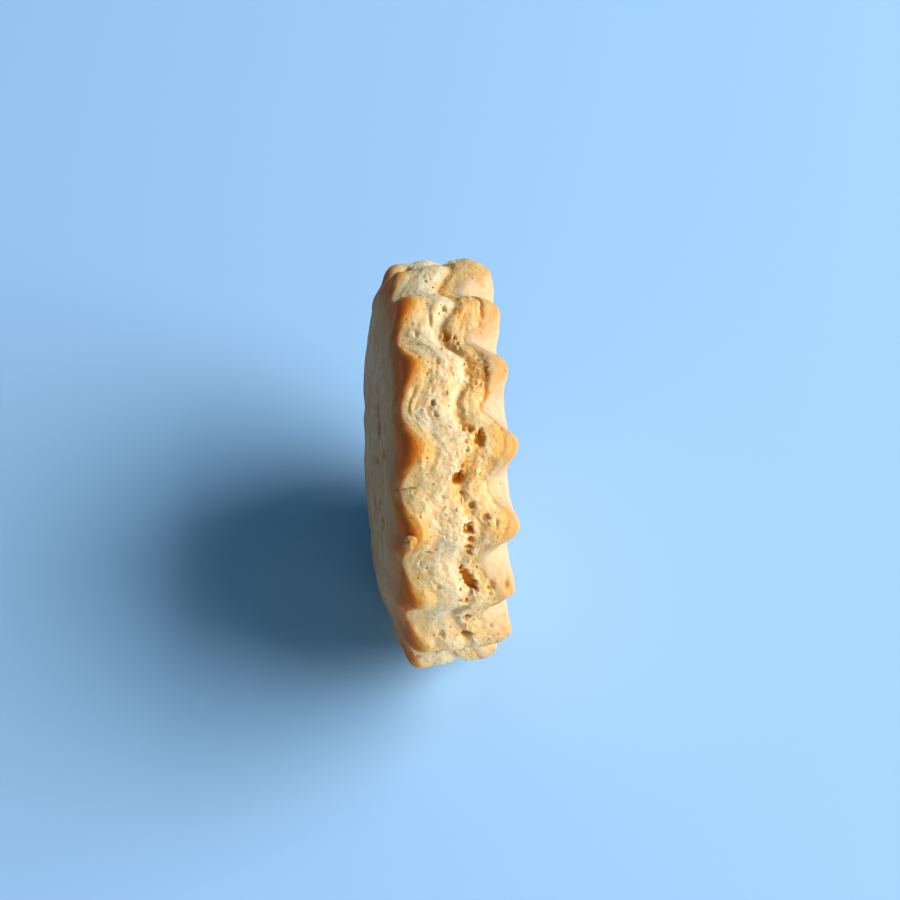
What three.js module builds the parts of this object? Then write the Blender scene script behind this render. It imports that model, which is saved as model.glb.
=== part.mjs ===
import * as THREE from 'three';
import { ImprovedNoise } from 'three/addons/math/ImprovedNoise.js';

// A round starch biscuit with a fluted rim, standing on its edge on two neighbouring lobes.
// Its round axis lies along X, +Z is up, and the origin is on the ground under its middle.
// Sizes are in millimetres. Angles are in degrees round the rim, from its top towards -Y.
// A place along the axis counts from the middle of the rim, and is negative on the domed side.

// Driving dimensions
const tipDiameter = 52; // across opposite lobe tips
const lobeCount = 16;
const fluteDepth = 2.2; // from a lobe tip down to the valleys beside it
const domeTop = -9.6; // middle of the domed face
const baseTop = 6.4; // ridges of the other face
const baseMiddle = 6.3; // its middle, a little sunk
const restFlat = 0.35; // worn off the two lobes that it rests on

// Rings of the faces inside the flutes: radius and place along the axis
const domeRings = [
  { radius: 10.5, along: domeTop + 0.25 },
  { radius: 17.5, along: domeTop + 1.05 },
];
const baseRings = [
  { radius: 17.5, along: baseMiddle - 0.3 },
  { radius: 9, along: baseMiddle - 0.05 },
];

// The rim's section at a lobe tip and in a valley: depth below that radius and place along the axis, for
// the domed face's edge and browned ridge, the wall's ends and middle, and the other face's ridge and edge
const tipRim = [
  { depth: 3.7, along: -7.2 },
  { depth: 0.9, along: -6.1 },
  { depth: 0.05, along: -4.3 },
  { depth: 0.1, along: 0.2 },
  { depth: 0.5, along: 3.9 },
  { depth: 1.2, along: 5.4 },
  { depth: 2.5, along: 6.15 },
];
const valleyRim = [
  { depth: 2.6, along: -7.8 },
  { depth: 0.7, along: -7 },
  { depth: 0, along: -6 },
  { depth: -0.7, along: -1.6 },
  { depth: -0.2, along: 1.6 },
  { depth: 0.5, along: 2.75 },
  { depth: 1.4, along: 3.35 },
];

// Unevenness of the lobes, as waves round the rim
const lobeVariation = 0.08; // part of the flute depth
const lobeSizeWaves = [{ count: 7, phase: 0.7 }];
const lobeDrift = 0.9; // degrees
const lobeDriftWaves = [{ count: 2, phase: -0.17 }, { count: 4, phase: -4.19 }];

// Unevenness of the two edges of the rim, as bells round it. An edge is shifted along the axis, and the half
// of the rim beside it is sunk. Both are whole at one place along the wall and gone at another, and they
// fade towards the middle of the face.
const domeEdge = {
  shifts: [{ angle: 56, width: 30, size: -0.85 }, { angle: 125, width: 32, size: 0.9 }],
  sinks: [{ angle: 315, width: 24, size: 0.95 }, { angle: 122, width: 10, size: -0.3 }],
  whole: -5,
  gone: 0,
};
const baseEdge = {
  shifts: [
    { angle: 55, width: 38, size: 0.3 },
    { angle: 324, width: 14, size: 0.25 },
    { angle: 349, width: 12, size: -0.35 },
    { angle: 29, width: 5, size: 0.5 },
    { angle: 86, width: 6, size: 0.4 },
  ],
  sinks: [{ angle: 124, width: 12, size: -0.25 }, { angle: 318, width: 22, size: -0.75 }],
  whole: 5,
  gone: 1,
};
const edgeFade = { gone: 15, whole: 22 }; // radius

// Noses, where the lobes bulge along the ridge of the domed side
const noseHeight = 0.4;
const noseAlong = -5.6;
const noseWidth = 1.2;

// Lumps all over the dough
const lumpHeight = 0.35;
const lumpSize = 4.5;

// The split between the two halves of the rim. A ramp on the domed side leads down to a proud lip on the
// other. The split is shallower at the lobe tips.
const splitPlace = 1.5;
const splitDepth = 0.85;
const splitShallow = 0.6; // part of the depth that is lost at a tip
const splitDepthVariation = 0.2;
const splitDepthWaves = [{ count: 11, phase: 0.4 }, { count: 5, phase: -1.6 }];
const splitRamp = 1.3;
const splitLip = 1.3;
const lipHeight = 0.14;
const lipPlace = 1.6;
const lipWidth = 0.9;

// Ledges of the flaky layers beside it
const ledgeHeight = 0.22;
const ledgeSpacing = 1.9;
const ledgeWander = 3; // lumps of noise across the radius of the rim
const ledgeFade = 1;

// Gas holes that show in the rim: angle, place along, length round the rim, width, depth and slant
const shownHoles = [
  { angle: 42.6, along: -0.7, long: 1.8, wide: 1.7, deep: 1.3, slant: 0 },
  { angle: 31.6, along: 1.9, long: 2.5, wide: 1.15, deep: 1, slant: 0 },
  { angle: 56.5, along: 0.4, long: 2.2, wide: 1.4, deep: 1, slant: 10 },
  { angle: 63.5, along: 0.4, long: 1.9, wide: 1.1, deep: 0.8, slant: 12 },
  { angle: 72.3, along: 0.55, long: 3.3, wide: 1.2, deep: 1.2, slant: 30 },
  { angle: 89, along: 0.65, long: 1.3, wide: 1.2, deep: 1, slant: 0 },
  { angle: 74.3, along: 3.15, long: 1.2, wide: 1.2, deep: 0.5, slant: 0 },
  { angle: 359.9, along: -0.8, long: 1.6, wide: 1.1, deep: 0.9, slant: 15 },
];

// Like holes on the part of the rim that is turned away, spread along the split by a seeded draw
const otherHoles = {
  first: 118,
  last: 320,
  count: 14,
  seed: 7,
  spread: 2.4,
  length: [1.5, 3],
  width: [1.1, 1.8],
  depth: [0.7, 1.4],
  slant: 25,
};
const drawFactor = 16807;
const drawModulus = 2147483647;

// A hole is deepest within the first of these parts of its half length, and ends at the second
const holeFloor = 0.4;
const holeBrim = 1.5;

// Fineness of the surface: steps round a lobe, and rows between neighbouring points of the section
const stepsPerLobe = 13;
const rowsBetween = [1, 1, 2, 2, 2, 6, 6, 2, 1, 2, 1, 1];

// Sizes worked out from the driving dimensions
const tipRadius = tipDiameter / 2;
const valleyRadius = tipRadius - fluteDepth;
const lobePitch = 360 / lobeCount;
const restHeight = tipRadius * Math.cos(THREE.MathUtils.degToRad(lobePitch / 2)) - restFlat;
const flutesEnd = domeRings[0].radius;
const flutesBegin = domeRings[1].radius;
const wallStart = tipRim[2].along;
const wallEnd = tipRim[4].along;

const noise = new ImprovedNoise();

// Points of a smooth section from the middle of the domed face round the rim to the middle of the other.
// Each point holds a radius and a place along the axis.
function sectionThrough(rim, rimRadius) {
  const spline = new THREE.SplineCurve([
    new THREE.Vector2(0, domeTop),
    ...domeRings.map(({ radius, along }) => new THREE.Vector2(radius, along)),
    ...rim.map(({ depth, along }) => new THREE.Vector2(rimRadius - depth, along)),
    ...baseRings.map(({ radius, along }) => new THREE.Vector2(radius, along)),
    new THREE.Vector2(0, baseMiddle),
  ]);
  const points = [spline.getPoint(0)];
  rowsBetween.forEach((rows, span) => {
    for (let row = 1; row <= rows; row += 1) {
      points.push(spline.getPoint((span + row / rows) / rowsBetween.length));
    }
  });
  return points;
}

// Direction out of the dough, for each point of a section
function outwardDirections(points) {
  return points.map((point, row) => {
    const before = points[Math.max(row - 1, 0)];
    const after = points[Math.min(row + 1, points.length - 1)];
    const run = new THREE.Vector2().subVectors(after, before).normalize();
    return new THREE.Vector2(run.y, -run.x);
  });
}

function wavesAt(waves, turn) {
  return waves.reduce((sum, { count, phase }) => sum + Math.cos(count * turn + phase), 0);
}

// How far out a lobe swells at an angle: 1 at a tip of usual size and 0 in a valley
function lobeSwell(angle) {
  const turn = THREE.MathUtils.degToRad(angle);
  const drift = lobeDrift * wavesAt(lobeDriftWaves, turn);
  const size = 1 + lobeVariation * wavesAt(lobeSizeWaves, turn);
  return size * Math.sin(Math.PI * (angle - drift) / lobePitch) ** 2;
}

function bell(off, width) {
  return Math.exp(-((off / width) ** 2));
}

function turnFrom(angle, middle) {
  return THREE.MathUtils.euclideanModulo(angle - middle + 180, 360) - 180;
}

function bellsAt(bells, angle) {
  const heights = bells.map((wave) => wave.size * bell(turnFrom(angle, wave.angle), wave.width));
  return heights.reduce((sum, height) => sum + height, 0);
}

// How far a point of the section, given by its place at a lobe tip, is moved by the unevenness of an edge
function edgeMove(edge, angle, tipPoint) {
  const begun = THREE.MathUtils.smoothstep((tipPoint.y - edge.gone) / (edge.whole - edge.gone), 0, 1);
  const share = begun * THREE.MathUtils.smoothstep(tipPoint.x, edgeFade.gone, edgeFade.whole);
  return new THREE.Vector2(-share * bellsAt(edge.sinks, angle), share * bellsAt(edge.shifts, angle));
}

// Depth of the split at a place along the rim, negative on the proud lip
function splitDepthAt(turn, along, swell) {
  const off = along - splitPlace;
  const uneven = splitDepthVariation * wavesAt(splitDepthWaves, turn);
  const depth = splitDepth * (1 - splitShallow * swell) + uneven;
  const sunk = bell(Math.min(off, 0), splitRamp) * (1 - THREE.MathUtils.smoothstep(off, 0, splitLip));
  return depth * sunk - lipHeight * bell(off - lipPlace, lipWidth);
}

// Depth of the flaky layers, which rise and fall in even steps along the wall
function ledgeDepthAt(turn, along) {
  const wander = noise.noise(ledgeWander * Math.sin(turn), ledgeWander * Math.cos(turn), along / lumpSize);
  const layer = along / ledgeSpacing + wander;
  const step = 2 * Math.abs(layer - Math.floor(layer) - 0.5);
  const begun = THREE.MathUtils.smoothstep(along, wallStart - ledgeFade, wallStart);
  const ended = THREE.MathUtils.smoothstep(along, wallEnd - ledgeFade, wallEnd);
  return ledgeHeight * step * begun * (1 - ended);
}

function drawHoles({ first, last, count, seed, spread, length, width, depth, slant }) {
  let state = seed;
  const draw = (low, high) => {
    state = (state * drawFactor) % drawModulus;
    return low + (high - low) * state / drawModulus;
  };
  return Array.from({ length: count }, (_, i) => ({
    angle: first + (last - first) * (i + draw(0, 1)) / count,
    along: spread * draw(-0.5, 0.5),
    long: draw(...length),
    wide: draw(...width),
    deep: draw(...depth),
    slant: slant * draw(-1, 1),
  }));
}

const holes = [...shownHoles, ...drawHoles(otherHoles)];

// Depth of the gas holes at a place of the rim
function holeDepthAt(angle, along) {
  const depths = holes.map((hole) => {
    const turn = THREE.MathUtils.degToRad(turnFrom(angle, hole.angle));
    const place = new THREE.Vector2(turn * tipRadius, along - hole.along);
    place.rotateAround(new THREE.Vector2(), -THREE.MathUtils.degToRad(hole.slant));
    const reach = Math.hypot(2 * place.x / hole.long, 2 * place.y / hole.wide);
    return hole.deep * (1 - THREE.MathUtils.smoothstep(reach, holeFloor, holeBrim));
  });
  return Math.max(...depths);
}

function makeDough() {
  const tip = sectionThrough(tipRim, tipRadius);
  const valley = sectionThrough(valleyRim, valleyRadius);
  const outward = outwardDirections(tip);
  const steps = lobeCount * stepsPerLobe;
  const dough = new THREE.LatheGeometry(tip, steps);
  const position = dough.getAttribute('position');
  const place = new THREE.Vector2();

  for (let i = 0; i < position.count; i += 1) {
    const row = i % tip.length;
    const angle = 360 * (Math.floor(i / tip.length) % steps) / steps;
    const turn = THREE.MathUtils.degToRad(angle);
    const swell = lobeSwell(angle);
    const fluted = THREE.MathUtils.smoothstep(tip[row].x, flutesEnd, flutesBegin);
    place.lerpVectors(tip[row], valley[row], fluted * (1 - swell));
    place.add(edgeMove(domeEdge, angle, tip[row]));
    place.add(edgeMove(baseEdge, angle, tip[row]));
    place.addScaledVector(outward[row], noseHeight * bell(tip[row].y - noseAlong, noseWidth) * swell ** 2);

    // The layers wave with the lobes, so they count from their place at a tip
    const layers = splitDepthAt(turn, tip[row].y, swell) + ledgeDepthAt(turn, tip[row].y);
    const nearRim = THREE.MathUtils.smoothstep(tip[row].x, flutesBegin, tipRadius);
    place.x -= nearRim * (layers + holeDepthAt(angle, place.y));

    const across = place.x * Math.sin(turn);
    const up = place.x * Math.cos(turn);
    const lump = noise.noise(across / lumpSize, up / lumpSize, place.y / lumpSize);
    const awayFromAxis = THREE.MathUtils.smoothstep(place.x, 0, flutesBegin);
    place.addScaledVector(outward[row], lumpHeight * lump * awayFromAxis);

    const height = Math.max(place.x * Math.cos(turn), -restHeight);
    position.setXYZ(i, place.x * Math.sin(turn), place.y, height);
  }

  dough.rotateZ(-Math.PI / 2);
  dough.translate(-(domeTop + baseTop) / 2, 0, restHeight);
  dough.computeVertexNormals();
  return dough;
}

const bakedDough = new THREE.MeshStandardMaterial({ color: 0xe3bf83, roughness: 0.8, metalness: 0 });
const biscuit = new THREE.Mesh(makeDough(), bakedDough);
biscuit.name = 'biscuit';

const part = new THREE.Group();
part.add(biscuit);

export default part;
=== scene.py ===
import itertools
import math

import bmesh
import bpy
import numpy as np
from mathutils import Matrix, Vector


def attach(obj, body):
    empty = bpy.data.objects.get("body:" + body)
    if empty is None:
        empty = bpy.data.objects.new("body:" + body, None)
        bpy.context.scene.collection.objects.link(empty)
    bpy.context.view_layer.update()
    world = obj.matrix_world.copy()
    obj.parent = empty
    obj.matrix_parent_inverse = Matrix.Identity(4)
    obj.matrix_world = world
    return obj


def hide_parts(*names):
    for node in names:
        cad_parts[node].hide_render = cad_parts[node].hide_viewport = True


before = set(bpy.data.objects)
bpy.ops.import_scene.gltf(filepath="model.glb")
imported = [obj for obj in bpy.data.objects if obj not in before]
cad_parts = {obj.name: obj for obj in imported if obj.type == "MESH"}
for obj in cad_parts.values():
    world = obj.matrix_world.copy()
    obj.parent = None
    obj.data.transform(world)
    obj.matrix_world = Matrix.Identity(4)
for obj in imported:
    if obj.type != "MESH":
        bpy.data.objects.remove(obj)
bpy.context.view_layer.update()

mm = 0.001  # the tables below are in millimetres and degrees

grainNoise = {
    "table": 256,
    "gain": 1.6,  # brings the values to about -1 to 1
    "layerShift": 17,  # keeps finer layers apart
}


class Grain:  # smooth seeded noise
    def __init__(self, seed):
        draw = np.random.default_rng(seed)
        self.order = draw.permutation(grainNoise["table"])
        slopes = draw.normal(size=(grainNoise["table"], 3))
        self.slopes = slopes / np.linalg.norm(slopes, axis=1, keepdims=True)

    def at(self, place):
        cell = np.floor(place).astype(int)
        part = place - cell
        ease = part ** 3 * (part * (part * 6 - 15) + 10)
        total = np.zeros(place.shape[:-1])
        for corner in itertools.product((0, 1), repeat=3):
            pick = 0
            for axis in range(3):
                pick = self.order[(pick + cell[..., axis] + corner[axis]) % grainNoise["table"]]
            lean = np.sum(self.slopes[pick] * (part - corner), axis=-1)
            total += lean * np.prod(np.where(corner, ease, 1 - ease), axis=-1)
        return total * grainNoise["gain"]

    def rough(self, place, layers):  # finer layers on top of each other
        return sum(self.at(place * 2 ** i + grainNoise["layerShift"] * i) / 2 ** i for i in range(layers))


def easeBetween(value, low, high):
    part = np.clip((value - low) / (high - low), 0, 1)
    return part * part * (3 - 2 * part)


def bell(value, width):
    return np.exp(-(value / width) ** 2)


def turnTo(angle, target):  # shortest way round, in degrees
    return (angle - target + 180) % 360 - 180


# Form of the dough. Angles run round the rim from its top towards -Y, and a place along the axis counts
# from the middle of the rim, negative on the domed side. A row of the surface is named by its section and
# reach, which are its place along and its radius at a lobe tip.
dough = {
    "tipDiameter": 52,
    "lobeCount": 16,
    "fluteDepth": 2.2,
    "domeTop": -9.6,
    "baseTop": 6.4,
    "baseMiddle": 6.3,
    "restFlat": 0.35,  # depth of the worn flats that it stands on
    "domeRings": [(10.5, -9.35), (17.5, -8.55)],  # radius, along
    "baseRings": [(17.5, 6.0), (9, 6.25)],
    # depth and along, at a lobe tip and in a valley
    "tipRim": [(3.7, -7.2), (0.9, -6.1), (0.05, -4.3), (0.1, 0.2), (0.5, 3.9), (1.2, 5.4), (2.5, 6.15)],
    "valleyRim": [(2.6, -7.8), (0.7, -7), (0, -6), (-0.7, -1.6), (-0.2, 1.6), (0.5, 2.75), (1.4, 3.35)],
    "rows": [4, 20, 14, 10, 9, 26, 26, 8, 6, 9, 4, 4],  # between the points of a section
    "columns": 936,
    "coarser": [(3, 3), (9, 1)],  # this many times fewer columns over the innermost spans of the faces
    "crowding": 0.42,
    "crowdedAt": 44,  # angle round which the columns stand closer
    "lobeDrift": 0.9,
    "driftWaves": [(2, -0.17), (4, -4.19)],  # waves round the rim and phase
    "lobeVariation": 0.08,
    "sizeWaves": [(7, 0.7)],
    "flutes": (10.5, 17.5),  # reach where they run out on the faces, and where they are whole
    # the two edges are shifted along and their halves of the rim are sunk: angle, width, distance
    "domeShifts": [(56, 30, -0.85), (125, 32, 0.9)],
    "domeSinks": [(315, 24, 0.95), (122, 10, -0.3)],
    "domeFades": (-5, 0),  # section where they are whole, and where they are gone
    "baseShifts": [(55, 38, 0.3), (324, 14, 0.25), (349, 12, -0.35), (29, 5, 0.5), (86, 6, 0.4)],
    "baseSinks": [(124, 12, -0.25), (318, 22, -0.75)],
    "baseFades": (5, 1),
    "edgeFades": (15, 22),  # reach
    "rimBegins": (22.5, 24.8),  # reach
    "wallBegins": (-5.6, -4.4),  # section
    "wallEnds": (5.0, 5.8),
}
tipRadius = dough["tipDiameter"] / 2
valleyRadius = tipRadius - dough["fluteDepth"]
lobePitch = 360 / dough["lobeCount"]
restHeight = tipRadius * math.cos(math.radians(lobePitch / 2)) - dough["restFlat"]
rimMiddle = -(dough["domeTop"] + dough["baseTop"]) / 2


def sectionThrough(rim, rimRadius):  # radius and along, from the dome's middle to the base's
    knots = [(0, dough["domeTop"]), *dough["domeRings"]]
    knots += [(rimRadius - depth, along) for depth, along in rim]
    knots += [*dough["baseRings"], (0, dough["baseMiddle"])]
    knots = np.array([knots[0], *knots, knots[-1]], float)
    points = [knots[1:2]]
    for span, rows in enumerate(dough["rows"]):
        before, start, end, after = knots[span:span + 4]
        leave, arrive = (end - before) / 2, (after - start) / 2
        t = np.arange(1, rows + 1)[:, None] / rows
        square = 3 * (end - start) - 2 * leave - arrive
        cube = 2 * (start - end) + leave + arrive
        points.append(start + leave * t + square * t ** 2 + cube * t ** 3)
    return np.vstack(points)


def wavesAt(waves, angle):
    return sum(np.cos(count * np.radians(angle) + phase) for count, phase in waves)


def bellsAt(bells, angle):
    return sum(size * bell(turnTo(angle, at), width) for at, width, size in bells)


def driftAt(angle):
    return dough["lobeDrift"] * wavesAt(dough["driftWaves"], angle)


def swellAt(angle):  # 1 at a lobe tip of usual size and 0 in a valley
    size = 1 + dough["lobeVariation"] * wavesAt(dough["sizeWaves"], angle)
    return size * np.sin(np.pi * (angle - driftAt(angle)) / lobePitch) ** 2


def placeOf(radius, along, angle):
    turn = np.radians(angle)
    return np.stack([along + rimMiddle, -radius * np.sin(turn), radius * np.cos(turn)], axis=-1)


def outward(place):  # unit normals of a grid of points, rows along the section and columns round the rim
    around = np.roll(place, -1, axis=1) - np.roll(place, 1, axis=1)
    across = np.gradient(place, axis=0)
    normal = np.cross(around, across)
    length = np.linalg.norm(normal, axis=-1, keepdims=True)
    return normal / np.maximum(length, 1e-9)


def layOutDough():  # the smooth form
    tip = sectionThrough(dough["tipRim"], tipRadius)
    valley = sectionThrough(dough["valleyRim"], valleyRadius)
    even = np.radians(np.arange(dough["columns"]) * 360 / dough["columns"])
    crowded = even - dough["crowding"] * np.sin(even - math.radians(dough["crowdedAt"]))
    angle = np.broadcast_to(np.degrees(crowded) % 360, (len(tip), dough["columns"]))
    swell = swellAt(angle)
    reach = np.broadcast_to(tip[:, :1], angle.shape)
    section = np.broadcast_to(tip[:, 1:], angle.shape)
    drop = (1 - swell) * easeBetween(reach, *dough["flutes"])
    radius = tip[:, :1] + (valley - tip)[:, :1] * drop
    along = tip[:, 1:] + (valley - tip)[:, 1:] * drop
    for side in ("dome", "base"):
        whole, gone = dough[side + "Fades"]
        share = easeBetween((section - gone) / (whole - gone), 0, 1) * easeBetween(reach, *dough["edgeFades"])
        along = along + share * bellsAt(dough[side + "Shifts"], angle)
        radius = radius - share * bellsAt(dough[side + "Sinks"], angle)
    length = np.cumsum(np.linalg.norm(np.diff(tip, axis=0, prepend=tip[:1]), axis=1))
    return {
        "angle": angle,
        "swell": swell,
        "along": along,
        "section": section,
        "reach": reach,
        "run": np.broadcast_to(length[:, None], angle.shape),  # length of the section so far
        "sweep": np.radians(turnTo(angle, 180)) * tipRadius,  # length round the rim
        "place": placeOf(radius, along, angle),
    }


def runTo(form, along):  # length of the section up to a place along its wall
    wall = slice(0, int(np.argmax(form["section"][:, 0] > along)) + 1)
    return np.interp(along, form["section"][wall, 0], form["run"][wall, 0])


# Split between the two halves of the rim: angle, section, depth
split = {
    "shown": [
        (322, 1.1, 0.32), (333, 1.2, 0.36), (342, 0.7, 0.24), (347, 0.6, 0.24), (352, 0.3, 0.4),
        (356, 0.0, 0.64), (0, 0.3, 0.8), (3, 0.8, 0.88), (6, 1.1, 0.64), (9, 1.4, 0.4), (12, 1.5, 0.32),
        (15, 1.7, 0.32), (18, 1.8, 0.44), (21, 1.8, 0.6), (24, 1.6, 0.68), (27, 1.5, 0.48),
        (30, 1.4, 0.28), (34, 1.3, 0.2), (39, 1.5, 0.24), (43, 1.7, 0.36), (48, 1.8, 0.36),
        (52, 1.7, 0.32), (56, 1.7, 0.24), (61, 1.4, 0.32), (65, 1.6, 0.44), (72, 1.2, 0.28),
        (79, 0.7, 0.28), (85, 0.4, 0.72), (90, 1.2, 0.56), (100, 0.9, 0.36), (112, 1.1, 0.64),
        (118, 0.8, 0.56),
    ],
    "otherStep": 11,
    "other": [(0.5, 1.8), (0.25, 0.8)],  # ranges of the same values
    # where the smooth skin of the base side begins: angle, section, crack
    "skinEdge": [
        (318, 4.8, 0), (327, 5.0, 0), (333, 4.4, 0), (338, 3.0, 0), (343, 3.1, 0.3), (349, 3.5, 0.9),
        (352, 3.9, 1.0), (354, 4.5, 1.0), (356, 5.3, 0.6), (358, 4.2, 0), (3, 3.3, 0), (8, 3.1, 0.2),
        (11.6, 3.3, 0.9), (13.6, 3.55, 1.0), (15.5, 3.9, 1.0), (17.8, 4.75, 1.0), (20.3, 5.5, 0.9),
        (23.3, 4.7, 0.6), (25.3, 5.4, 0.5), (28.6, 5.3, 0.4), (32, 4.6, 0.4), (34, 4.5, 0.3),
        (38, 4.2, 0), (43, 4.5, 0.3), (45.5, 5.5, 0.3), (50, 5.5, 0.3), (53, 5.4, 0.3), (57, 4.6, 0.2),
        (62, 3.6, 0), (75, 4.0, 0), (90, 4.4, 0), (150, 3.2, 0.3), (200, 3.0, 0), (240, 3.4, 0.6),
        (290, 3.0, 0.1),
    ],
    "ramp": 1.3,  # width of the slope on the domed side
    "lip": 0.85,  # width of the other side
    "proud": 0.08,
    "proudAt": 1.6,
    "proudWidth": 0.9,
    "ragged": 0.4,
    "raggedSize": (1.6, 1.0),  # along and round the rim
    "raggedLayers": 3,
    "skinRagged": 0.35,
    "skinRaggedSize": 1.1,
    "skinRaggedLayers": 2,
    "skinBlend": 0.2,
    "domeSkinEnds": (-5.3, -4.6),  # section
    # partly painted shade: the tone of the split's floor also stands for the shade that falls in it
    "goldenSide": (-0.8, -0.1),  # the tone of its floor sets in, counted from the split
    "seed": 5,
}


def splitStations():
    draw = np.random.default_rng(split["seed"])
    stations = sorted(split["shown"], key=lambda station: turnTo(station[0], 0))
    first, last = stations[-1][0], stations[0][0]
    for angle in np.arange(first + split["otherStep"], last - split["otherStep"] / 2, split["otherStep"]):
        stations.append((angle, *[draw.uniform(*span) for span in split["other"]]))
    return sorted(stations)


def splitRelief(off, depth):  # a gentle ramp down to the steep, proud lip of the other half
    sunk = bell(np.minimum(off, 0), split["ramp"]) * (1 - easeBetween(off, 0, split["lip"]))
    raised = split["proud"] * bell(off - split["proudAt"], split["proudWidth"])
    return raised * np.minimum(depth, 1) - depth * sunk


def zonesOf(form, grains):  # where the wall, the split and the smooth skin lie
    angle, section, reach, place = [form[k] for k in ("angle", "section", "reach", "place")]
    onRim = easeBetween(reach, *dough["rimBegins"])
    wall = onRim * easeBetween(section, *dough["wallBegins"]) * (1 - easeBetween(section, *dough["wallEnds"]))
    domeSide = section < 0

    def follow(stations):  # the two values of stations round the rim
        table = np.array(stations)
        return [np.interp(angle, table[:, 0], table[:, i], period=360) for i in (1, 2)]

    line, depth = follow(splitStations())
    skinEdge, crackHere = follow(sorted(split["skinEdge"]))
    acrossSize, aroundSize = split["raggedSize"]
    spot = np.stack([section / acrossSize, form["sweep"] / aroundSize, np.zeros(angle.shape)], axis=-1)
    line = line + split["ragged"] * grains["line"].rough(spot, split["raggedLayers"])
    fray = grains["edge"].rough(place / split["skinRaggedSize"], split["skinRaggedLayers"])
    skinEdge = skinEdge + split["skinRagged"] * fray

    begun = easeBetween(section, skinEdge - split["skinBlend"], skinEdge + split["skinBlend"])
    baseSkin = np.where(domeSide, 0, np.maximum(begun, 1 - onRim))
    domeSkin = np.where(domeSide, np.maximum(1 - easeBetween(section, *split["domeSkinEnds"]), 1 - onRim), 0)
    skin = np.maximum(baseSkin, domeSkin)
    return {
        "onRim": onRim,
        "wall": wall,
        "domeSide": domeSide,
        "fromSplit": section - line,
        "dip": splitRelief(section - line, depth) * wall,
        "fromSkin": section - skinEdge,
        "crackHere": crackHere,
        "baseSkin": baseSkin,
        "domeSkin": domeSkin,
        "skin": skin,
        "soft": wall * (1 - skin),
    }


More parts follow.
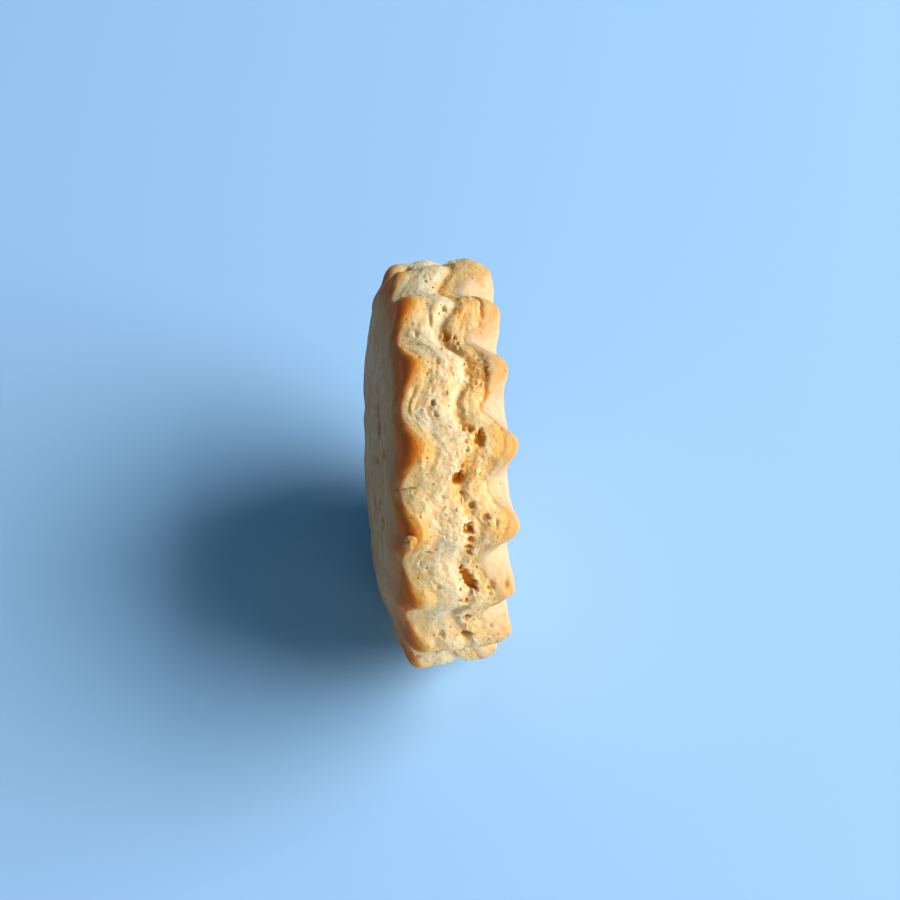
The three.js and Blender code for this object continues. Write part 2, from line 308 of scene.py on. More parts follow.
# Gas holes and pits: angle, along, length round the rim, width, depth, slant
pits = {
    "shown": [
        (42.6, -0.7, 1.8, 1.7, 1.3, 0), (31.6, 1.9, 2.5, 1.15, 1.0, 0), (55.9, 0.3, 1.7, 1.4, 1.0, 0),
        (59.4, 0.65, 1.3, 0.85, 0.8, 0), (62.6, 0.4, 0.9, 1.2, 0.8, 0), (64.8, 0.6, 1, 0.7, 0.7, 20),
        (72.3, 0.55, 3.3, 1.15, 1.2, 30), (89, 0.65, 1.2, 1.1, 1.0, 0), (94.8, 0.7, 1.1, 1.6, 0.7, 0),
        (78.5, 0, 0.8, 1.1, 0.7, 0), (74.3, 3.15, 1.1, 1.1, 0.5, 0), (75.2, 5.1, 1.4, 0.7, 0.35, 0),
        (359.9, -0.85, 1.4, 0.9, 0.9, 0), (0.4, 0.12, 0.7, 0.5, 0.5, 0), (347.1, 0.8, 0.9, 0.9, 0.5, 0),
        (352.1, -1, 0.9, 0.6, 0.4, 0), (355.1, -2.7, 1.6, 0.45, 0.35, 0),
        (358.6, -4.5, 0.8, 0.35, 0.3, 0), (21.1, -3.25, 1.1, 0.5, 0.45, 0), (24.2, -3, 1, 0.4, 0.3, 20),
        (9.9, -2.4, 1.3, 0.45, 0.3, 0), (28.4, 0.25, 0.8, 0.55, 0.5, 0), (28.8, 1, 0.9, 0.55, 0.5, 20),
        (32.5, 0.25, 0.7, 0.7, 0.35, 0), (35, 0.3, 0.5, 0.5, 0.3, 0), (36.9, 0.5, 0.3, 0.3, 0.3, 0),
        (67.5, -5.15, 1, 0.45, 0.3, 0), (73.8, -3.25, 0.8, 0.8, 0.3, 0),
        (63.2, -4.45, 0.5, 1.5, 0.4, 0), (94.2, -2.5, 0.9, 1.1, 0.35, 0),
        (54.5, 3.65, 1.2, 0.4, 0.3, 0), (52.8, 2.35, 0.9, 1, 0.5, 0), (49.5, 0.85, 0.9, 0.9, 0.5, 0),
        (46.4, -0.2, 0.6, 0.6, 0.4, 0), (56.6, 4.6, 0.5, 0.4, 0.25, 0), (108.5, 1.5, 1, 1.1, 0.5, 0),
        (94, 3.7, 0.5, 0.5, 0.35, 0), (45, -6.8, 0.3, 1.9, 0.25, 8),
    ],
    # wide shallow hollows
    "hollows": [(12.2, 1.9, 4.4, 3.0, 0.5, 0), (39, -0.6, 1.8, 1.3, 0.35, 0), (39.3, 2.6, 2.4, 2.4, 0.3, 0)],
    # on the domed face: angle, radius, length round it, width, depth, slant
    "face": [
        (20, 13.8, 2.6, 2.2, 0.3, 0), (35, 16.6, 1.6, 2.0, 0.25, 20), (36.7, 11.1, 0.9, 1.8, 0.35, 0),
        (69, 7.8, 0.9, 2.0, 0.35, 0), (66.8, 14.3, 0.9, 1.8, 0.3, 0), (357.6, 19.4, 0.7, 1.2, 0.2, 0),
    ],
    # drawn dents of both faces
    "faceCounts": {"dome": 26, "base": 40},
    "faceSeeds": {"dome": 13, "base": 14},
    "faceRadius": (3, 21),
    "faceSize": (0.4, 1.1),
    "faceStretch": (1, 2),
    "faceDepth": 0.4,  # part of the size
    "faceSlant": 40,
    "faceEnds": (21, 22.5),  # reach
    # drawn holes on the part of the rim that is turned away
    "otherFirst": 118,
    "otherLast": 320,
    "otherCount": 46,
    "otherShift": 2,
    "otherSize": (0.4, 1.3),
    "otherStretch": (1, 1.8),
    "otherDepth": (0.5, 0.8),
    "otherSlant": 30,
    "bigShare": 0.2,
    "bigger": 1.6,
    "splitShare": 0.55,  # of the holes lie near the split
    "splitAlong": (-1.2, 2.2),
    "wallAlong": (-5, 4),
    "otherSeed": 11,
    # fine pores all over the crumb
    "fineCount": 1000,
    "fineLength": (0.16, 0.45),
    "fineStretch": (1, 1.9),
    "fineWidth": 0.7,  # part of the length
    "fineDepth": (0.08, 0.24),
    "fineSlant": 15,
    "fineSeed": 12,
    # where the floor ends and the brim begins, as parts of the half length
    "holeBrim": (0.65, 1.12),
    "hollowBrim": (0.4, 1.3),
    "poreBrim": (0.3, 1.1),
    "dentBrim": (0.4, 1.2),
    "ragged": 0.4,
    "raggedSize": 0.45,
    "raggedLayers": 2,
    # depth that takes on the whole tone
    "holeFull": 0.8,
    "fineFull": 0.2,
}


def hiddenPits():
    draw = np.random.default_rng(pits["otherSeed"])
    holes = []
    for angle in np.linspace(pits["otherFirst"], pits["otherLast"], pits["otherCount"]):
        size = draw.uniform(*pits["otherSize"]) * (pits["bigger"] if draw.random() < pits["bigShare"] else 1)
        nearSplit = draw.random() < pits["splitShare"]
        along = draw.uniform(*pits["splitAlong" if nearSplit else "wallAlong"])
        turn = angle + draw.uniform(-pits["otherShift"], pits["otherShift"])
        length = size * draw.uniform(*pits["otherStretch"])
        depth = size * draw.uniform(*pits["otherDepth"])
        holes.append((turn, along, length, size, depth, draw.uniform(-1, 1) * pits["otherSlant"]))
    return holes


def finePores():
    draw = np.random.default_rng(pits["fineSeed"])
    pores = []
    for i in range(pits["fineCount"]):
        size = draw.uniform(*pits["fineLength"])
        turn = draw.uniform(0, 360)
        along = draw.uniform(*pits["wallAlong"])
        length = size * draw.uniform(*pits["fineStretch"])
        depth = draw.uniform(*pits["fineDepth"])
        slant = draw.uniform(-pits["fineSlant"], pits["fineSlant"])
        pores.append((turn, along, length, size * pits["fineWidth"], depth, slant))
    return pores


def faceDents(side):
    draw = np.random.default_rng(pits["faceSeeds"][side])
    dents = []
    for i in range(pits["faceCounts"][side]):
        size = draw.uniform(*pits["faceSize"])
        turn = draw.uniform(0, 360)
        radius = draw.uniform(*pits["faceRadius"])
        length = size * draw.uniform(*pits["faceStretch"])
        slant = draw.uniform(-pits["faceSlant"], pits["faceSlant"])
        dents.append((turn, radius, length, size, size * pits["faceDepth"], slant))
    return dents


def sinkHoles(holes, angle, across, radius, ragged, brim):
    depth = np.zeros(angle.shape)
    for turn, place, long, wide, deep, slant in holes:
        x = np.radians(turnTo(angle, turn)) * radius
        y = across - place
        spots = np.nonzero((np.abs(x) < long + wide) & (np.abs(y) < long + wide))
        x, y = x[spots], y[spots]
        c, s = math.cos(math.radians(slant)), math.sin(math.radians(slant))
        reach = np.hypot(2 * (c * x + s * y) / long, 2 * (c * y - s * x) / wide) + ragged[spots]
        depth[spots] = np.maximum(depth[spots], deep * (1 - easeBetween(reach, *brim)))
    return depth


def holesOf(form, zone, grains):  # depths of all that is sunk into the dough
    angle, along, reach = form["angle"], form["along"], form["reach"]
    ragged = pits["ragged"] * grains["hole"].rough(form["place"] / pits["raggedSize"], pits["raggedLayers"])

    def inRim(holes, brim):
        return sinkHoles(holes, angle, along, tipRadius, ragged, pits[brim])

    def inFace(holes):
        return sinkHoles(holes, angle, reach, reach, ragged, pits["dentBrim"])

    dents = np.where(zone["domeSide"], inFace(faceDents("dome") + pits["face"]), inFace(faceDents("base")))
    return {
        "holes": inRim(pits["shown"] + hiddenPits(), "holeBrim") * zone["onRim"],
        "hollows": inRim(pits["hollows"], "hollowBrim") * zone["wall"],
        "pores": inRim(finePores(), "poreBrim") * zone["soft"],
        "dents": dents * (1 - easeBetween(reach, *pits["faceEnds"])),
    }


# Relief of the crumb. Lumps, clots, grains and the skin's waves have a height, a size and layers.
crumb = {
    "lump": (0.3, 4.5, 1),
    "clot": (0.1, 1.2, 3),
    "grain": (0.055, 0.4, 2),
    "skin": (0.09, 1.9, 3),
    "middles": (2, 9),  # reach where the middles of the faces become uneven
    "calm": [(325, 25, 0.45)],  # smoother round the top: angle, width, share
    "innerBegins": (-5, -0.5),  # section of the palest crumb
    "innerEnds": (1.5, 3.5),
    # thin flakes, which fade towards the lower lobes and past the split
    "flakeHeight": 0.22,
    "flakeSpacing": 0.8,
    "flakeLength": 4.5,
    "flakeWander": 0.35,
    "flakeLayers": 2,
    "flakeMiddle": 0.3,
    "flakePatch": 4.0,
    "flakeShows": (-0.3, 0.35),
    "flakesUpTo": (40, 85),  # angle from the top
    "flakesEnd": (0.5, 2.5),  # section
    "flakeFade": 0.8,
    "streakFade": 0.7,
    # knobbly torn crumb between the halves, tan on the upper lobes; the tan is partly the crumb's own and
    # partly painted shade
    "torn": 0.165,
    "tornSize": 0.8,
    "tornLayers": 3,
    "tornShift": 7,  # keeps the layers apart
    "tornWeaker": 1.7,  # from layer to layer
    "tornMiddle": 1.1,
    "tornAt": 1.3,  # section
    "tornWidth": 1.5,
    "tornUpTo": (50, 80),
    "tornFade": 0.75,
    "tornPatchShift": 9,  # keeps its patches apart from those of the flakes
    "tornShows": (-0.35, 0.15),
    "tanSide": (-0.5, 0.2),  # counted from the split
    "tanUpTo": (35, 65),
    "tanFade": 0.75,
    # step and cracks at the edge of the skin, with golden crumb beside it
    "skinStep": 0.1,
    "crackDepth": 0.24,
    "crackWidth": 0.24,
    "crackBreaks": 1.6,
    "crackShows": (-0.6, -0.1),
    "seamWidth": 0.9,
    # the ridge is rounder between the lobes
    "ridge": 0.2,
    "ridgeAlong": -6.7,
    "ridgeWidth": 0.6,
    "seed": 3,
}


def fadeDown(form, angles, fade):  # lost towards the lower lobes
    return 1 - fade * easeBetween(np.abs(turnTo(form["angle"], 0)), *angles)


def flakesOf(form, grains):  # thin broken layers that run round the domed half of the rim
    section, place = form["section"], form["place"]
    wander = crumb["flakeWander"] * grains["wander"].rough(place / crumb["flakePatch"], crumb["flakeLayers"])
    spot = [(section + wander) / crumb["flakeSpacing"], form["sweep"] / crumb["flakeLength"], wander]
    streak = grains["flake"].rough(np.stack(spot, axis=-1), crumb["flakeLayers"])
    patch = easeBetween(grains["patch"].at(place / crumb["flakePatch"]), *crumb["flakeShows"])
    upper = fadeDown(form, crumb["flakesUpTo"], crumb["flakeFade"])
    domed = 1 - crumb["flakeFade"] * easeBetween(section, *crumb["flakesEnd"])
    return (np.abs(streak) - crumb["flakeMiddle"]) * patch * upper * domed, streak


def tornOf(form, grains):
    section, place = form["section"], form["place"]
    tornZone = bell(section - crumb["tornAt"], crumb["tornWidth"])
    tornZone = tornZone * fadeDown(form, crumb["tornUpTo"], crumb["tornFade"])
    patch = grains["patch"].at(place / crumb["flakePatch"] + crumb["tornPatchShift"])
    knobbly = -crumb["tornMiddle"]
    for i in range(crumb["tornLayers"]):
        spot = place * 2 ** i / crumb["tornSize"] + crumb["tornShift"] * i
        knobbly = knobbly + np.abs(grains["torn"].at(spot)) / crumb["tornWeaker"] ** i
    return tornZone * easeBetween(patch, *crumb["tornShows"]) * knobbly, tornZone


# Browned noses of the lobes, by lobe from the top, and the knobs that they make
browning = {
    "noses": {-3: 0.6, -2: 0.8, -1: 1.0, 0: 1.0, 1: 1.05, 2: 0.95, 3: 0.72, 4: 0.65, 5: 0.6},
    "otherNoses": (0.45, 0.95),
    "noseAlong": -5.75,
    "noseWidth": 1.4,
    "noseLean": 0.42,  # the browning reaches further down the domed side
    "noseTurn": 6.3,
    "tipAlong": 5.6,
    "tipWidth": 1.3,
    "tipTurn": 6.5,
    "toastWidth": 2.8,
    "ridgeToast": 0.05,  # between the lobes
    # painted light: from this section on, the ridge's side towards the light is drawn as lit
    "litSide": (-6.3, -5.3),  # section where the amber sets in
    "faceEnds": (17, 22),  # reach
    "knob": 0.4,
    "knobAlong": -5.5,
    "knobTurn": 5.0,
    "knobWidth": 1.7,
    "knobGroove": 0.18,  # a groove runs beside them
    "knobGrooveAt": 2.6,
    "knobGrooveWidth": 0.7,
    "seed": 8,
}


def brownRidges(form):
    draw = np.random.default_rng(browning["seed"])
    fromNose = form["run"] - runTo(form, browning["noseAlong"])
    fromTip = form["run"] - runTo(form, browning["tipAlong"])
    fromKnob = form["run"] - runTo(form, browning["knobAlong"])
    leaning = np.where(fromNose < 0, fromNose * browning["noseLean"], fromNose)
    groove = bell(fromKnob - browning["knobGrooveAt"], browning["knobGrooveWidth"])
    bulge = browning["knob"] * bell(fromKnob, browning["knobWidth"]) - browning["knobGroove"] * groove
    toasted = bell(fromNose, browning["toastWidth"]) + bell(fromTip, browning["toastWidth"])
    toast = browning["ridgeToast"] * bell(fromNose, browning["toastWidth"])
    nose, rimTip, knobs = [np.zeros(fromNose.shape) for i in range(3)]
    for lobe in range(dough["lobeCount"]):
        regular = (lobe + 0.5) * lobePitch
        off = turnTo(form["angle"], regular + driftAt(regular))
        number = lobe if lobe < dough["lobeCount"] / 2 else lobe - dough["lobeCount"]
        drawn = draw.uniform(*browning["otherNoses"])
        amount = browning["noses"].get(number, drawn)
        nose += amount * bell(off, browning["noseTurn"]) * bell(leaning, browning["noseWidth"])
        rimTip += amount * bell(off, browning["tipTurn"]) * bell(fromTip, browning["tipWidth"])
        toast += amount * bell(off, browning["tipTurn"]) * toasted
        knobs += amount * bell(off, browning["knobTurn"]) * bulge
    return nose, rimTip, toast, knobs


def shapeDough():
    form = layOutDough()
    section, reach, place = form["section"], form["reach"], form["place"]
    names = ("lump", "clot", "grain", "skin", "wander", "flake", "patch", "line", "edge", "hole", "torn")
    grains = {name: Grain(crumb["seed"] + i) for i, name in enumerate(names)}
    zone = zonesOf(form, grains)
    sunk = holesOf(form, zone, grains)
    flakes, streak = flakesOf(form, grains)
    torn, tornZone = tornOf(form, grains)
    nose, rimTip, toast, knobs = brownRidges(form)

    def bumps(name):
        height, size, layers = crumb[name]
        return height * grains[name].rough(place / size, layers)

    rough = bumps("clot") + bumps("grain") + crumb["flakeHeight"] * flakes + crumb["torn"] * torn
    rough = rough * (1 - bellsAt(crumb["calm"], form["angle"])) * zone["soft"]
    broken = easeBetween(grains["edge"].at(place / crumb["crackBreaks"]), *crumb["crackShows"])
    baseRim = zone["onRim"] * ~zone["domeSide"]
    crack = zone["crackHere"] * broken * bell(zone["fromSkin"], crumb["crackWidth"]) * baseRim
    ridge = bell(section - crumb["ridgeAlong"], crumb["ridgeWidth"]) * (1 - form["swell"])

    relief = (bumps("lump") + bumps("skin")) * easeBetween(reach, *crumb["middles"]) + rough
    relief = relief + crumb["skinStep"] * zone["crackHere"] * zone["baseSkin"] * zone["wall"]
    relief = relief + zone["dip"] + knobs + crumb["ridge"] * ridge
    relief = relief - sum(sunk.values()) - crumb["crackDepth"] * crack
    place = place + outward(place) * relief[..., None]
    place[..., 2] = np.maximum(place[..., 2], -restHeight) + restHeight
    form["place"] = place

    tan = fadeDown(form, crumb["tanUpTo"], crumb["tanFade"])
    inner = easeBetween(section, *crumb["innerBegins"]) * (1 - easeBetween(section, *crumb["innerEnds"]))
    golden = easeBetween(zone["fromSplit"], *split["goldenSide"])
    masks = {
        "nose": nose,
        "rimTip": rimTip,
        "toast": toast,
        # painted light: where the ridge is drawn as lit
        "lit": easeBetween(section, *browning["litSide"]),
        "skin": zone["skin"],
        "domeSkin": zone["domeSkin"],
        "face": zone["domeSide"] * (1 - easeBetween(reach, *browning["faceEnds"])),
        "streak": streak * fadeDown(form, crumb["flakesUpTo"], crumb["streakFade"]),
        "torn": tornZone * zone["wall"] * easeBetween(zone["fromSplit"], *crumb["tanSide"]) * tan,
        "seam": bell(zone["fromSkin"], crumb["seamWidth"]) * baseRim * tan,
        "inner": inner,
        "hole": np.clip(sunk["holes"] / pits["holeFull"] + sunk["hollows"], 0, 1),
        "pore": np.clip(sunk["pores"] / pits["fineFull"], 0, 1),
        "dent": np.clip(sunk["dents"] / pits["fineFull"], 0, 1),
        "paintedCreviceBounce": np.clip(-rough / pits["fineFull"], 0, 1),
        "groove": np.clip(-zone["dip"], 0, 1) * golden,
        "crack": np.clip(crack, 0, 1),
    }
    return form, masks


def stitch(rows, columns):  # faces of the grid, with fewer columns towards the middles of the two faces
    counts = np.cumsum([0, *dough["rows"]])
    stride = np.ones(rows, int)
    for step, spans in dough["coarser"]:
        stride[:counts[spans] + 1] = step
        stride[counts[-1 - spans]:] = step
    index = np.arange(rows * columns).reshape(rows, columns)
    index[0], index[-1] = index[0, 0], index[-1, 0]
    faces = []
    for row in range(rows - 1):
        here, there = index[row, ::stride[row]], index[row + 1, ::stride[row + 1]]
        if len(here) == len(there):
            faces += zip(here, there, np.roll(there, -1), np.roll(here, -1))
            continue
        inwards = len(here) > len(there)
        wide, thin = (there, here) if inwards else (here, there)
        thin = np.append(thin, thin[0])
        wide = np.append(wide, wide[0])
        for i in range(len(wide) - 1):
            a, b, c, d = thin[3 * i:3 * i + 4]  # a wide step spans three thin ones
            fan = [(wide[i], a, b), (wide[i], b, c, wide[i + 1]), (wide[i + 1], c, d)]
            faces += [corners[::-1] for corners in fan] if inwards else fan
    merged = [list(dict.fromkeys(int(c) for c in corners)) for corners in faces]
    return [corners for corners in merged if len(corners) > 2]


def makeMesh(name, points, faces, masks):
    used = np.unique(np.concatenate([np.array(f) for f in faces]))
    renumber = np.full(len(points), -1)
    renumber[used] = np.arange(len(used))
    mesh = bpy.data.meshes.new(name)
    mesh.from_pydata((points[used] * mm).tolist(), [], [[int(renumber[c]) for c in f] for f in faces])
    for title, values in masks.items():
        layer = mesh.attributes.new(title, "FLOAT", "POINT")
        layer.data.foreach_set("value", values[used].astype(np.float32))
    mesh.shade_smooth()
    mesh.validate()
    mesh.calc_loop_triangles()
    print(name + ":", len(mesh.vertices), "points,", len(mesh.loop_triangles), "triangles")
    piece = bpy.data.objects.new(name, mesh)
    bpy.context.scene.collection.objects.link(piece)
    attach(piece, "root")
    return piece


form, masks = shapeDough()
faces = stitch(*form["angle"].shape)
flatMasks = {k: v.reshape(-1) for k, v in masks.items()}
biscuit = makeMesh("biscuit_dough", form["place"].reshape(-1, 3), faces, flatMasks)
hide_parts("biscuit")

# Crumbs that stick to the dough: angle, along, length round the rim, width, height, toast
crumbs = {
    "shown": [
        (58.5, -6.4, 1.8, 1.4, 1.0, 0.9), (77.8, -0.3, 1.2, 0.8, 0.6, 0.1), (112, -2.2, 1.6, 1.0, 0.7, 0.1),
    ],
    "looseCount": 60,
    "looseSize": (0.14, 0.42),
    "looseAlong": (-2.2, 1.6),
    "looseStretch": (1, 2.2),
    "looseHeight": (0.5, 0.9),  # part of the size
    "looseToast": (0, 0.5),
    "fromReach": 22,  # they lie on the rim
    "raised": 0.15,  # part of the height
    "ragged": 0.6,
    "raggedSize": 0.6,
    "raggedLayers": 3,
    "raggedShift": 5,  # from crumb to crumb
    "fineness": 3,
    "seed": 21,
}


def strewnCrumbs():
    draw = np.random.default_rng(crumbs["seed"])
    bits = list(crumbs["shown"])
    for i in range(crumbs["looseCount"]):
        size = draw.uniform(*crumbs["looseSize"])
        turn = draw.uniform(0, 360)
        along = draw.uniform(*crumbs["looseAlong"])
        length = size * draw.uniform(*crumbs["looseStretch"])
        height = size * draw.uniform(*crumbs["looseHeight"])
        bits.append((turn, along, length, size, height, draw.uniform(*crumbs["looseToast"])))
    return bits


def shapeCrumbs():
    ball = bmesh.new()
    bmesh.ops.create_icosphere(ball, subdivisions=crumbs["fineness"], radius=0.5)  # 1 across
    points = np.array([v.co for v in ball.verts])
    corners = np.array([[v.index for v in f.verts] for f in ball.faces])
    ball.free()
    grain = Grain(crumbs["seed"])
    normals = outward(form["place"])
    onRim = form["reach"] > crumbs["fromReach"]
    spots, faces, toast = [], [], []
    for i, (turn, along, long, wide, high, toasted) in enumerate(strewnCrumbs()):
        away = np.hypot(np.radians(turnTo(form["angle"], turn)) * tipRadius, form["along"] - along)
        nearest = np.unravel_index(np.argmin(np.where(onRim, away, np.inf)), away.shape)
        normal = normals[nearest]
        side = np.cross(normal, (1, 0, 0))
        side = side / np.linalg.norm(side)
        size = np.array((long, wide, high))
        spot = points * size / crumbs["raggedSize"] + crumbs["raggedShift"] * i
        lumpy = points * (1 + crumbs["ragged"] * grain.rough(spot, crumbs["raggedLayers"]))[:, None]
        axes = np.array((side, np.cross(side, normal), normal))
        bit = form["place"][nearest] + (lumpy * size) @ axes + normal * high * crumbs["raised"]
        bit[:, 2] = np.maximum(bit[:, 2], 0)
        spots.append(bit)
        faces += (corners + i * len(points)).tolist()
        toast.append(np.full(len(points), toasted))
    return np.vstack(spots), faces, {"toast": np.concatenate(toast)}


stuckCrumbs = makeMesh("stuck_crumbs", *shapeCrumbs())


class Wire:  # a socket of a material, with arithmetic
    def __init__(self, finish, socket):
        self.finish, self.socket = finish, socket

    def maths(self, operation, a, b):
        return self.finish.node("Math", {"operation": operation}, {0: a, 1: b})

    def __add__(self, other):
        return self.maths("ADD", self, other)

    __radd__ = __add__

    def __sub__(self, other):
        return self.maths("SUBTRACT", self, other)

    def __rsub__(self, other):
        return self.maths("SUBTRACT", other, self)

    def __mul__(self, other):
        return self.maths("MULTIPLY", self, other)

    __rmul__ = __mul__


class Finish:  # a material and its nodes
    def __init__(self, name):
        self.material = bpy.data.materials.new(name)
        self.material.use_nodes = True
        self.tree = self.material.node_tree
        self.shader = self.tree.nodes["Principled BSDF"]

    def feed(self, socket, value):
        if isinstance(value, Wire):
            self.tree.links.new(value.socket, socket)
        else:
            socket.default_value = value

    def node(self, kind, settings, sockets, out=0):
        made = self.tree.nodes.new("ShaderNode" + kind)
        for key, value in settings.items():
            setattr(made, key, value)
        for key, value in sockets.items():
            self.feed(made.inputs[key], value)
        return Wire(self, made.outputs[out])

    def mask(self, name):
        return self.node("Attribute", {"attribute_name": name}, {}, out="Fac")

    def blend(self, amount, under, over):  # colours
        under, over = [tone if isinstance(tone, Wire) else (*tone, 1) for tone in (under, over)]
        # the colour sockets of Mix come after those for numbers and vectors
        return self.node("Mix", {"data_type": "RGBA"}, {0: amount, 6: under, 7: over}, out=2)

    def ease(self, value, low, high):
        sockets = {"Value": value, "From Min": low, "From Max": high}
        return self.node("MapRange", {"interpolation_type": "SMOOTHSTEP"}, sockets)

    def noise(self, place, size, detail):
        return self.node("TexNoise", {}, {"Vector": place, "Scale": 1 / (size * mm), "Detail": detail})

    def bump(self, strength, height, rise):
        sockets = {"Strength": strength, "Distance": height * mm, "Height": rise}
        return self.node("Bump", {}, sockets, out="Normal")

    def wear(self, values):
        for key, value in values.items():
            self.feed(self.shader.inputs[key], value)


# Finish of the baked dough. Its tones are linear.
bake = {
    "crumbPale": (0.80, 0.625, 0.43),
    "crumbWarm": (0.71, 0.46, 0.185),
    "crumbToast": (0.69, 0.365, 0.105),
    # partly painted shade: the torn crumb's own tan, darkened for the half-shade it lies in
    "tornCrumbAndShade": (0.63, 0.37, 0.135),
    # painted light: a warm tint for the crevices of the crumb, standing in for light bounced within it
    "paintedCreviceBounce": (0.92, 0.38, 0.055),
    "skin": (0.55, 0.395, 0.25),
    "skinWarm": (0.575, 0.325, 0.135),
    "domeEdge": (0.60, 0.23, 0.09),
    "domeToast": (0.61, 0.135, 0.02),
    "face": (0.62, 0.325, 0.165),
    "faceWarm": (0.53, 0.215, 0.08),
    "faceDent": (0.36, 0.11, 0.03),
    "amber": (0.60, 0.24, 0.036),
    # painted light and shade: the noses' brown has a lit copy and a redder copy for their shaded side
    "brown": (0.49, 0.112, 0.008),
    "brownPaintedShade": (0.77, 0.105, 0.002),
    # painted light: the orange-brown of holes, hollows and pores stands in for warm light bounced inside them
    "hole": (0.72, 0.30, 0.036),
    # partly painted shade: the split floor's own tan, darkened for the shade that falls in the groove
    "groove": (0.86, 0.47, 0.13),
    "crack": (0.72, 0.22, 0.018),
    "speck": (0.27, 0.095, 0.02),
    # noises: size and detail
    "patch": (5.0, 2.0),
    "mottle": (1.1, 3.0),
    "grain": (0.26, 3.0),
    "noiseMiddle": 0.5,
    # what makes the crumb, the skin and the domed face warmer, with its weight
    "crumbWarmth": {"patch": 0.4, "mottle": 0.3, "streak": 0.2, "inner": -0.25},
    "skinWarmth": {"mottle": 1, "toast": 0.35},
    "faceWarmth": {"mottle": 0.6, "patch": 0.4},
    # how far the noises spread the edges of the browning
    "toastSpread": 0.6,
    "domeToastSpread": 0.5,
    "noseSpread": (0.6, 0.3),  # by mottle and by grain
    "rimTipSpread": 0.4,
    # values between which a tone sets in
    "setsIn": {
        "crumbWarm": (0.0, 0.45), "grain": (0.5, 0.72), "torn": (0.1, 0.5), "toast": (0.15, 0.85),
        "seam": (0.3, 0.6), "skinWarm": (0.4, 0.85), "faceWarm": (0.35, 0.65), "domeToast": (0.0, 0.4),
        "amber": (0.16, 0.5), "brown": (0.42, 0.75), "rimTip": (0.2, 1.0), "hole": (0.15, 0.8),
        "gloss": (0.4, 0.9), "looseWarm": (0.3, 0.6),
    },
    # how much of what is under it a tone covers
    "covers": {
        "crumbWarm": 0.9, "grain": 0.5, "paintedCreviceBounce": 0.85, "seam": 0.7, "dent": 0.85, "groove": 0.6,
        "rimTip": 0.5, "pore": 0.5, "speck": 0.85,
    },
    "speckSpacing": 1.0,
    "speckSize": (0.19, 0.09),  # where a dot ends and where it is whole, as parts of the spacing
    "speckShare": (0.38, 0.36),  # of the cells hold one
    "roughness": 0.72,
    "gloss": 0.1,  # the noses are this much less rough
    "specular": 0.15,
    "looseSpecular": 0.3,
    "bump": 0.7,
    "bumpHeight": 0.16,
    "skinSmooth": 0.6,  # part of the bump that the skin loses
    "glow": 0.5,  # light that passes through the crumb
    "glowReach": (1.2, 0.6, 0.25),
}


def speckMask(f, spot):  # a small dot in some of the cells
    cells = {"Vector": spot, "Scale": 1 / (bake["speckSpacing"] * mm), "Randomness": 1.0}
    dots = f.node("TexVoronoi", {}, cells)
    picked = f.node("SeparateColor", {}, {"Color": f.node("TexVoronoi", {}, cells, out="Color")})
    rim, middle = bake["speckSize"]
    most, least = bake["speckShare"]
    return (1 - f.ease(dots, middle, rim)) * (1 - f.ease(picked, least, most))


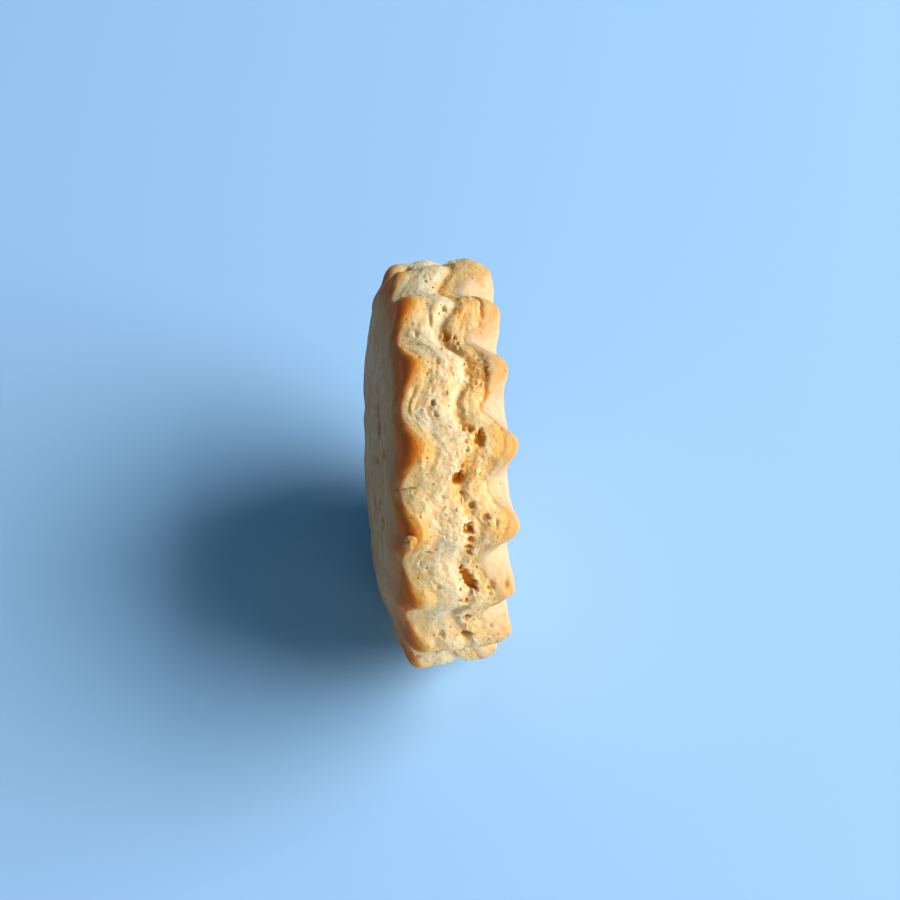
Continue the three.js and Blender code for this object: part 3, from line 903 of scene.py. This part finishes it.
def makeDoughFinish():
    f = Finish("baked dough")
    spot = f.node("TexCoord", {}, {}, out="Object")
    field = {name: f.mask(name) for name in masks}
    field.update({name: f.noise(spot, *bake[name]) for name in ("patch", "mottle", "grain")})
    covers = bake["covers"]
    mottling, graining = [field[name] - bake["noiseMiddle"] for name in ("mottle", "grain")]

    def setIn(name, value):
        return f.ease(value, *bake["setsIn"][name])

    def warmth(name):
        return sum(field[source] * weight for source, weight in bake[name].items())

    # pale crumb, warmer in patches and near the ridges
    warm = setIn("crumbWarm", warmth("crumbWarmth")) * covers["crumbWarm"]
    tone = f.blend(warm, bake["crumbPale"], bake["crumbWarm"])
    tone = f.blend(setIn("grain", field["grain"]) * covers["grain"], tone, bake["crumbWarm"])
    # partly painted shade: the torn crumb is darkened tan between the halves
    tone = f.blend(field["torn"] * setIn("torn", field["mottle"]), tone, bake["tornCrumbAndShade"])
    toasted = setIn("toast", field["toast"] + mottling * bake["toastSpread"])
    tone = f.blend(toasted, tone, bake["crumbToast"])
    # painted light: the crevices are tinted warm orange for the light bounced within them
    tone = f.blend(field["paintedCreviceBounce"] * covers["paintedCreviceBounce"], tone, bake["paintedCreviceBounce"])
    golden = field["seam"] * setIn("seam", field["mottle"]) * covers["seam"]
    tone = f.blend(golden, tone, bake["crumbToast"])

    # smooth skin of the base side, and the domed face with its browned edge
    skinTone = f.blend(setIn("skinWarm", warmth("skinWarmth")), bake["skin"], bake["skinWarm"])
    tone = f.blend(field["skin"], tone, skinTone)
    domeTone = f.blend(setIn("faceWarm", warmth("faceWarmth")), bake["face"], bake["faceWarm"])
    domeTone = f.blend(1 - field["face"], domeTone, bake["domeEdge"])
    toasted = setIn("domeToast", field["toast"] + mottling * bake["domeToastSpread"])
    domeTone = f.blend(toasted, domeTone, bake["domeToast"])
    domeTone = f.blend(field["dent"] * covers["dent"], domeTone, bake["faceDent"])
    tone = f.blend(field["domeSkin"], tone, domeTone)
    # partly painted shade: the split's sunk floor is tinted tan where shade falls in it
    tone = f.blend(field["groove"] * covers["groove"], tone, bake["groove"])

    # browned noses: amber round them on the side painted as lit, deep brown on them, as a lit copy there and
    # a redder painted-shade copy beyond
    wide, fine = bake["noseSpread"]
    browned = field["nose"] + (mottling * wide + graining * fine) * field["nose"]
    tone = f.blend(setIn("amber", browned) * field["lit"], tone, bake["amber"])
    brown = f.blend(field["lit"], bake["brownPaintedShade"], bake["brown"])
    tone = f.blend(setIn("brown", browned), tone, brown)
    tips = setIn("rimTip", field["rimTip"] + mottling * bake["rimTipSpread"]) * covers["rimTip"]
    tone = f.blend(tips, tone, bake["amber"])

    tone = f.blend(field["crack"], tone, bake["crack"])
    # painted light: holes, hollows and pores take the orange-brown of light bounced inside them
    tone = f.blend(setIn("hole", field["hole"]), tone, bake["hole"])
    tone = f.blend(field["pore"] * covers["pore"], tone, bake["hole"])
    tone = f.blend(speckMask(f, spot) * covers["speck"], tone, bake["speck"])
    rise = (field["grain"] + field["mottle"]) * (1 - field["skin"] * bake["skinSmooth"])
    f.wear({
        "Base Color": tone,
        "Roughness": bake["roughness"] - setIn("gloss", browned) * bake["gloss"],
        "Normal": f.bump(bake["bump"], bake["bumpHeight"], rise),
        "Specular IOR Level": bake["specular"],
        "Subsurface Weight": bake["glow"],
        "Subsurface Radius": [reach * mm for reach in bake["glowReach"]],
        "Subsurface Scale": 1.0,
    })
    return f.material


def makeCrumbFinish():
    f = Finish("loose crumb")
    spot = f.node("TexCoord", {}, {}, out="Object")
    mottle, grain = [f.noise(spot, *bake[name]) for name in ("mottle", "grain")]
    tone = f.blend(f.ease(mottle, *bake["setsIn"]["looseWarm"]), bake["crumbPale"], bake["crumbWarm"])
    f.wear({
        "Base Color": f.blend(f.mask("toast"), tone, bake["amber"]),
        "Roughness": bake["roughness"],
        "Normal": f.bump(bake["bump"], bake["bumpHeight"], grain),
        "Specular IOR Level": bake["looseSpecular"],
    })
    return f.material


biscuit.data.materials.append(makeDoughFinish())
stuckCrumbs.data.materials.append(makeCrumbFinish())
print("finishes: baked dough, loose crumb")

# Plain floor, a soft key light from the right, a low warm light in front, a weak low light from the left
# and bluish light all round. Lengths are in metres.
studio = {
    "floorSize": 4.0,
    "floorTone": (0.335, 0.53, 0.815),
    "floorRoughness": 0.85,
    "floorSpecular": 0.15,
    "lights": {
        # elevation, turn from +X towards -Y, distance, width, height, power, tone
        "key": (40, 4, 1.0, 1.1, 0.8, 20.5, (0.94, 0.97, 0.94)),
        "front": (3, 55, 1.0, 1.2, 0.1, 6.9, (0.98, 0.89, 0.54)),
        "left": (8, 185, 1.0, 1.2, 0.3, 1.0, (0.85, 0.8, 0.8)),
    },
    "fillTone": (0.14, 0.70, 1.0),
    "fillStrength": 0.19,
}


def makeFloor():
    half = studio["floorSize"] / 2
    mesh = bpy.data.meshes.new("floor")
    corners = [(-half, -half, 0), (half, -half, 0), (half, half, 0), (-half, half, 0)]
    mesh.from_pydata(corners, [], [(0, 1, 2, 3)])
    floor = bpy.data.objects.new("floor", mesh)
    bpy.context.scene.collection.objects.link(floor)
    f = Finish("floor paper")
    f.wear({
        "Base Color": (*studio["floorTone"], 1),
        "Roughness": studio["floorRoughness"],
        "Specular IOR Level": studio["floorSpecular"],
    })
    mesh.materials.append(f.material)


def makeLights():
    for name, (elevation, turn, distance, width, height, power, tone) in studio["lights"].items():
        lamp = bpy.data.lights.new(name, "AREA")
        lamp.shape = "RECTANGLE"
        lamp.size, lamp.size_y = width, height
        lamp.energy = power
        lamp.color = tone
        light = bpy.data.objects.new(name, lamp)
        lean, swing = math.radians(elevation), math.radians(turn)
        flat = math.cos(lean)
        towards = Vector((flat * math.cos(swing), -flat * math.sin(swing), math.sin(lean)))
        light.location = towards * distance + Vector((0, 0, restHeight * mm))
        light.rotation_euler = towards.to_track_quat("Z", "Y").to_euler()
        bpy.context.scene.collection.objects.link(light)
    world = bpy.data.worlds.new("room")
    bpy.context.scene.world = world
    world.use_nodes = True
    sky = world.node_tree.nodes["Background"].inputs
    sky["Color"].default_value = (*studio["fillTone"], 1)
    sky["Strength"].default_value = studio["fillStrength"]


makeFloor()
makeLights()
print("studio: floor and lights")

# Camera, from the rim's middle on the axis. The picture is 900 pixels square.
shot = {
    "azimuth": -8.96,
    "elevation": 52.3,
    "roll": 4.78,
    "distance": 280,
    "nearest": 10,  # what is closer isn't drawn
    "focalPixels": 2185,
    "picture": 900,
    "middle": (443.25, 460.6),  # where the rim's middle is in the picture
    "sensor": 36,
}


def makeCamera():
    a, e, r = [math.radians(shot[k]) for k in ("azimuth", "elevation", "roll")]
    back = Vector((math.sin(a) * math.cos(e), -math.cos(a) * math.cos(e), math.sin(e)))
    level = Vector((math.cos(a), math.sin(a), 0))
    steep = back.cross(level)
    right = math.cos(r) * level + math.sin(r) * steep
    up = math.cos(r) * steep - math.sin(r) * level
    lens = bpy.data.cameras.new("camera")
    lens.sensor_width = shot["sensor"]
    lens.lens = shot["sensor"] * shot["focalPixels"] / shot["picture"]
    lens.shift_x = 0.5 - shot["middle"][0] / shot["picture"]
    lens.shift_y = shot["middle"][1] / shot["picture"] - 0.5
    lens.clip_start = shot["nearest"] * mm
    camera = bpy.data.objects.new("camera", lens)
    stand = Matrix((right, up, back)).transposed().to_4x4()
    stand.translation = Vector((rimMiddle, 0, restHeight)) * mm + back * shot["distance"] * mm
    camera.matrix_world = stand
    bpy.context.scene.collection.objects.link(camera)
    bpy.context.scene.camera = camera


makeCamera()
bpy.context.scene.view_settings.view_transform = "Standard"
print("camera set")
